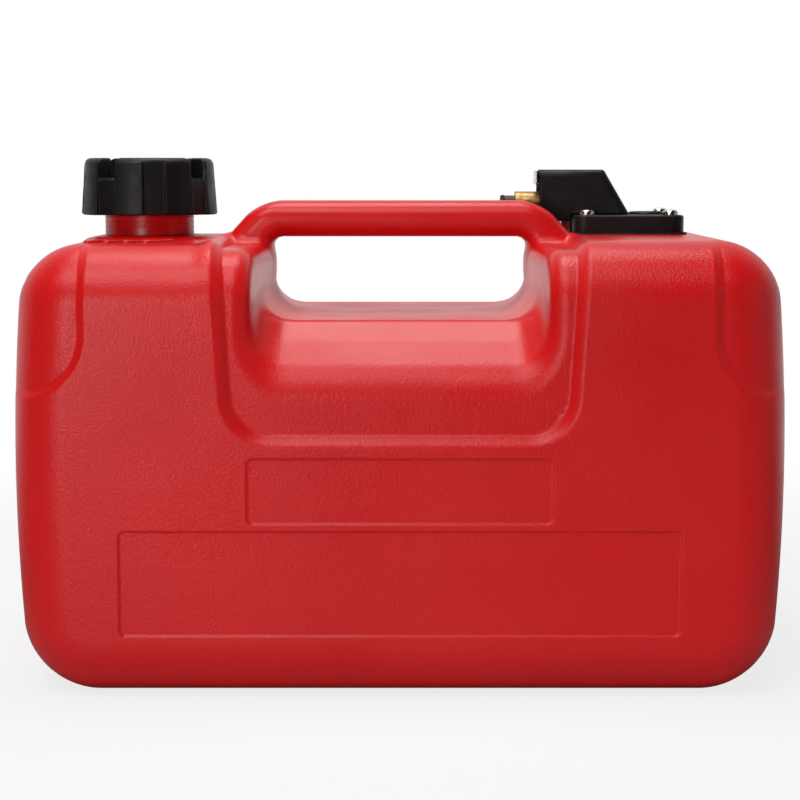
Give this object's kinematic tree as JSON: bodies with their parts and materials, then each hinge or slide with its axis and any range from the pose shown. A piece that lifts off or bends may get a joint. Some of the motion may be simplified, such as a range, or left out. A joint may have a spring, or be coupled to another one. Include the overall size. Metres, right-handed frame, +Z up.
{
  "type": "outboard fuel tank",
  "caption": "Portable moulded plastic fuel tank with a carry handle, a screw filler cap with a vent, and a fuel take-off with a gauge and a hose nipple.",
  "frame": {"origin": "centre of the tank's flat bottom, on the surface it stands on", "axes": "+Z up, +X from the filler cap towards the fuel take-off, +Y towards the back of the tank"},
  "size_m": [0.354, 0.2, 0.245],
  "materials": {
    "red_polyethylene": "satin moulded polyethylene with a fine orange-peel grain",
    "black_plastic": "satin moulded black plastic",
    "nitrile_rubber": "matt moulded rubber",
    "stainless_steel": "polished stainless steel",
    "brass": "turned brass",
    "aluminium_tube": "drawn aluminium",
    "white_plastic": "natural nylon",
    "float_foam": "closed-cell moulded float",
    "dial_face": "white dial with plain marks",
    "red_pointer": "red pointer",
    "clear_lens": "clear acrylic",
    "zinc_casting": "plain cast zinc",
    "dark_tip": "dark acetal"
  },
  "bodies": {
    "tank": {"tank_body": "red_polyethylene", "tank_saddle": "red_polyethylene", "tank_left_shoulder": "red_polyethylene", "tank_right_shoulder": "red_polyethylene", "carry_handle": "red_polyethylene", "filler_neck": "red_polyethylene", "base_gasket": "nitrile_rubber", "gauge_base": "black_plastic", "base_screws": "stainless_steel", "threaded_inserts": "brass", "pickup_tube": "aluminium_tube", "tube_seal": "nitrile_rubber", "pickup_strainer": "white_plastic", "float_guide": "white_plastic", "gauge_bush": "brass", "gauge_dial": "dial_face", "gauge_lens": "clear_lens", "gauge_bezel": "black_plastic", "connector_block": "zinc_casting", "fuel_nipple": "brass", "nipple_tip": "dark_tip", "nipple_ring": "nitrile_rubber", "valve_spring": "stainless_steel", "connector_clip": "stainless_steel", "connector_hood": "black_plastic"},
    "cap_lift": {"cap_gasket": "nitrile_rubber"},
    "cap": {"filler_cap": "black_plastic"},
    "vent_lift": {"vent_seal": "nitrile_rubber"},
    "vent": {"vent_screw": "black_plastic"},
    "float": {"gauge_float": "float_foam"},
    "gauge": {"gauge_strip": "aluminium_tube", "gauge_pointer": "red_pointer"},
    "valve": {"valve_ball": "stainless_steel"}
  },
  "joints": [
    {"name": "cap_rise", "type": "slide", "parent": "tank", "child": "cap_lift", "axis": [0, 0, 1], "range_m": [0, 0.012]},
    {"name": "cap_turn", "type": "hinge", "parent": "cap_lift", "child": "cap", "pos_m": [-0.123, 0, 0.2177], "axis": [0, 0, 1], "range_deg": [0, 1080]},
    {"name": "vent_rise", "type": "slide", "parent": "cap", "child": "vent_lift", "axis": [0, 0, 1], "range_m": [0, 0.0025]},
    {"name": "vent_turn", "type": "hinge", "parent": "vent_lift", "child": "vent", "pos_m": [-0.123, 0, 0.2368], "axis": [0, 0, 1], "range_deg": [0, 720]},
    {"name": "float_rise", "type": "slide", "parent": "tank", "child": "float", "axis": [0, 0, 1], "range_m": [0, 0.15]},
    {"name": "gauge_turn", "type": "hinge", "parent": "tank", "child": "gauge", "pos_m": [0.125, 0.03, 0.0106], "axis": [0, 0, 1], "range_deg": [-270, 0]},
    {"name": "valve_push", "type": "slide", "parent": "tank", "child": "valve", "axis": [1, 0, 0], "range_m": [0, 0.0025], "stiffness_N_per_m": 150, "springref_m": -0.002, "deforming": ["valve_spring"]}
  ],
  "couplings": [
    {"joint": "cap_rise", "follows": "cap_turn", "m_per_rad": 0.0006366},
    {"joint": "vent_turn", "follows": "vent_rise", "rad_per_m": 5026.5},
    {"joint": "gauge_turn", "follows": "float_rise", "rad_per_m": -31.416}
  ]
}
